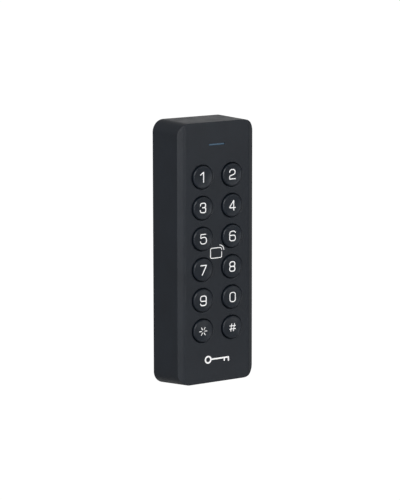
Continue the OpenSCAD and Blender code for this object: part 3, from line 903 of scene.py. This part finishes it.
def build_dome(key, top_y, sheet_y):
    """Hollow dome between the sheet of the mat and a key."""
    inner_y = top_y + DOME_TOP_T
    profile = [(0, top_y)]
    profile += arc((DOME_TOP_R - DOME_EDGE_R, top_y + DOME_EDGE_R), DOME_EDGE_R, -90, -20, 5)
    profile += [(DOME_BASE_R - 0.1 * MM, sheet_y - DOME_EDGE_R), (DOME_FOOT_R, sheet_y)]
    profile += [(DOME_FOOT_R, sheet_y + DOME_FOOT_T), (DOME_HOLE_R, sheet_y + DOME_FOOT_T)]
    profile += [(DOME_ROOM_R, inner_y + 0.2 * MM), (DOME_ROOM_R - 0.35 * MM, inner_y), (0, inner_y)]
    shell = Shell()
    turned(shell, profile, key_centre(key), 48)
    dome = shell.build("dome_" + key, MATERIALS["silicone"], sharp=60)
    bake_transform(dome)


def build_mat():
    """Sheet with a hole under each dome, for the middle posts and for the backlight, and its domes."""
    lo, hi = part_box("key_mat")
    sheet_y = hi.y - MAT_T
    holes = [round_shape(DOME_HOLE_R, key_centre(key), 48) for key in KEYS]
    holes += [round_shape(MAT_POST_HOLE_R, (0, z), 32) for z in spacer_rows()[1:3]]
    for key in KEYS[::2]:
        place = (0, key_centre(key)[1])
        holes.append(rounded_rect(MAT_LIGHT_HOLE_W, MAT_LIGHT_HOLE_H, 0.3 * MM, place, steps=3))
    shell = Shell()
    plate(shell, rounded_rect(hi.x - lo.x, hi.z - lo.z, MAT_CORNER_R), holes, sheet_y, hi.y)
    piece = shell.build("mat_sheet", MATERIALS["silicone"])
    finish_piece(piece, "housing", "silicone", "key_mat")
    for key in KEYS:
        build_dome(key, lo.y, sheet_y)


build_mat()

# ---------- tamper spring ----------

SPRING_WIRE_R = 0.25 * MM
SPRING_TURNS = 4.5
SPRING_STEPS = 144
WIRE_STEPS = 12


def build_spring():
    """Coil between the switch and the plunger's collar."""
    lo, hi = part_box("tamper_spring")
    middle = (lo + hi) / 2
    start_y = lo.y + SPRING_WIRE_R
    coil_r = (hi.x - lo.x) / 2 - SPRING_WIRE_R
    rise = hi.y - lo.y - 2 * SPRING_WIRE_R
    shell = Shell()
    rings = []
    for k in range(SPRING_STEPS + 1):
        turn = 2 * math.pi * SPRING_TURNS * k / SPRING_STEPS
        outwards = Vector((math.cos(turn), 0, math.sin(turn)))
        wire = Vector((middle.x, start_y + rise * k / SPRING_STEPS, middle.z)) + outwards * coil_r
        ring = []
        for j in range(WIRE_STEPS):
            a = 2 * math.pi * j / WIRE_STEPS
            ring.append(wire + SPRING_WIRE_R * (outwards * math.cos(a) + Vector((0, math.sin(a), 0))))
        rings.append(shell.loop(ring))
    for a, b in zip(rings, rings[1:]):
        shell.bridge(a, b)
    for ring in (rings[0], rings[-1]):
        cut = [Vector(shell.points[n]) for n in ring]
        tip = shell.loop([sum(cut, Vector()) / len(cut)])[0]
        shell.fan(ring, tip)
    piece = shell.build("tamper_coil", MATERIALS["bright_steel"], sharp=60)
    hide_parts("tamper_spring")
    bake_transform(piece)


build_spring()

# ---------- the other CAD nodes keep their shape ----------

SLOT_OF = {part["node"]: part["material_slot"] for part in frame["record"]["subparts"]}
for node, thing in frame["nodes"].items():
    thing.data.materials.clear()
    thing.data.materials.append(MATERIALS[SLOT_OF[node]])


def soften(node, width):
    """Rounds the edges of a CAD node that is seen from outside."""
    thing = frame["nodes"][node]
    weld = thing.modifiers.new("weld", "WELD")
    weld.merge_threshold = 0.002 * MM
    bevel = thing.modifiers.new("edges", "BEVEL")
    bevel.width = width
    bevel.segments = 2
    bevel.limit_method = "ANGLE"
    bevel.angle_limit = math.radians(40)
    bevel.harden_normals = True


EDGE_WIDTHS = {
    "mounting_bracket": 0.15 * MM, "rear_cover": 0.15 * MM, "cover_screws": 0.1 * MM,
    "lock_screw": 0.08 * MM, "tamper_plunger": 0.15 * MM, "cable_grommet": 0.2 * MM,
    "lock_insert": 0.08 * MM,
}
for node, width in EDGE_WIDTHS.items():
    soften(node, width)

# ---------- camera, floor and light ----------

CAMERA_PLACE = Vector((-0.6742, -1.05153, 0.21784))
CAMERA_TURN = math.radians(32.897)
CAMERA_DIP = math.radians(-9.9955)
CAMERA_ROLL = math.radians(-0.09)
LENS = 174.33
FLOOR_HALF = 30.0
FLOOR_Z = -0.45
BACKGROUND = 1.05
# Dim walls: the axis and the side each one is on, and its strength.
WALLS = [("X", 1, 0.48), ("X", -1, 0.43), ("Y", 1, 0.04), ("Z", 1, 0.34), ("Z", -1, 0.04)]
# Lamps: azimuth and elevation in degrees, distance, width and power.
LAMPS = {
    "high_left": (-30, 25, 1.6, 0.45, 5.5),
    "far_left": (-50, 25, 1.6, 0.45, 3.6),
    "level_left": (-40, 0, 1.6, 0.45, 2.8),
    "side_left": (-70, 35, 1.6, 0.45, 3.2),
    "low_left": (-48, -25, 1.6, 0.45, 1.2),
    "front": (8, 0, 1.6, 0.45, 2.7),
    "behind_right": (145, 10, 1.6, 0.45, 0.36),
    "behind": (160, -5, 1.6, 0.6, 2.5),
    "below_behind": (172, -32, 1.6, 0.6, 0.6),
    "near_top": (31, 17, 0.404, 0.12, 0.075),
    "near_bottom": (31, -30, 0.404, 0.12, 0.055),
}


def build_camera():
    """Camera at the photo's viewing angle: turned to the right, dipped, and rolled a little."""
    level = Vector((math.cos(CAMERA_TURN), -math.sin(CAMERA_TURN), 0))
    flat = math.cos(CAMERA_DIP)
    ahead = Vector((math.sin(CAMERA_TURN) * flat, math.cos(CAMERA_TURN) * flat, math.sin(CAMERA_DIP)))
    up = level.cross(ahead)
    right = level * math.cos(CAMERA_ROLL) + up * math.sin(CAMERA_ROLL)
    top = up * math.cos(CAMERA_ROLL) - level * math.sin(CAMERA_ROLL)
    data = bpy.data.cameras.new("camera")
    data.lens = LENS
    data.clip_end = 100
    camera = bpy.data.objects.new("camera", data)
    bpy.context.scene.collection.objects.link(camera)
    turn = Matrix((right, top, -ahead)).transposed()
    camera.matrix_world = Matrix.Translation(CAMERA_PLACE) @ turn.to_4x4()
    bpy.context.scene.camera = camera


def build_floor():
    """A pale floor well below the reader, which only the camera sees."""
    mesh = bpy.data.meshes.new("floor")
    corners = [(-1, -1), (1, -1), (1, 1), (-1, 1)]
    mesh.from_pydata([(x * FLOOR_HALF, y * FLOOR_HALF, FLOOR_Z) for x, y in corners], [], [(0, 1, 2, 3)])
    n = Nodes("floor")
    glow = n.new("ShaderNodeEmission")
    glow.inputs["Strength"].default_value = BACKGROUND
    n.link(n.ramp(n.noise(0.4, 3), [(0.3, (0.98, 0.98, 0.98)), (0.7, (1, 1, 1))]), glow.inputs["Color"])
    n.link(glow.outputs["Emission"], n.tree.nodes["Material Output"].inputs["Surface"])
    mesh.materials.append(n.material)
    floor = bpy.data.objects.new("floor", mesh)
    bpy.context.scene.collection.objects.link(floor)
    floor.visible_diffuse = False
    floor.visible_glossy = False
    floor.visible_transmission = False
    floor.visible_shadow = False


def build_world():
    """Dim studio walls, each brightest in one direction; white where the camera sees them."""
    world = bpy.data.worlds.new("studio")
    bpy.context.scene.world = world
    world.use_nodes = True
    tree = world.node_tree
    tree.nodes.clear()
    direction = tree.nodes.new("ShaderNodeTexCoord")
    parts = tree.nodes.new("ShaderNodeSeparateXYZ")
    tree.links.new(direction.outputs["Generated"], parts.inputs["Vector"])
    total = None
    for axis, side, strength in WALLS:
        wall = tree.nodes.new("ShaderNodeMapRange")
        wall.inputs["From Max"].default_value = side
        wall.inputs["To Max"].default_value = strength
        tree.links.new(parts.outputs[axis], wall.inputs["Value"])
        if total is None:
            total = wall.outputs["Result"]
            continue
        both = tree.nodes.new("ShaderNodeMath")
        tree.links.new(total, both.inputs[0])
        tree.links.new(wall.outputs["Result"], both.inputs[1])
        total = both.outputs["Value"]
    soft = tree.nodes.new("ShaderNodeBackground")
    tree.links.new(total, soft.inputs["Strength"])
    white = tree.nodes.new("ShaderNodeBackground")
    white.inputs["Color"].default_value = (1, 1, 1, 1)
    white.inputs["Strength"].default_value = BACKGROUND
    path = tree.nodes.new("ShaderNodeLightPath")
    mix = tree.nodes.new("ShaderNodeMixShader")
    tree.links.new(path.outputs["Is Camera Ray"], mix.inputs["Fac"])
    tree.links.new(soft.outputs["Background"], mix.inputs[1])
    tree.links.new(white.outputs["Background"], mix.inputs[2])
    out = tree.nodes.new("ShaderNodeOutputWorld")
    tree.links.new(mix.outputs["Shader"], out.inputs["Surface"])


def soft_light(name, azimuth, elevation, distance, size, power):
    """Square lamp that faces the reader; azimuth 0 is in front of it and 90 to its right."""
    turn, rise = math.radians(azimuth), math.radians(elevation)
    flat = math.cos(rise)
    place = Vector((math.sin(turn) * flat, -math.cos(turn) * flat, math.sin(rise))) * distance
    data = bpy.data.lights.new(name, "AREA")
    data.size = size
    data.energy = power
    lamp = bpy.data.objects.new(name, data)
    bpy.context.scene.collection.objects.link(lamp)
    lamp.location = place
    lamp.rotation_euler = (-place).to_track_quat("-Z", "Y").to_euler()
    lamp.visible_camera = False


build_camera()
build_floor()
build_world()
for name, lamp in LAMPS.items():
    soft_light(name, *lamp)
bpy.context.scene.view_settings.view_transform = "Standard"
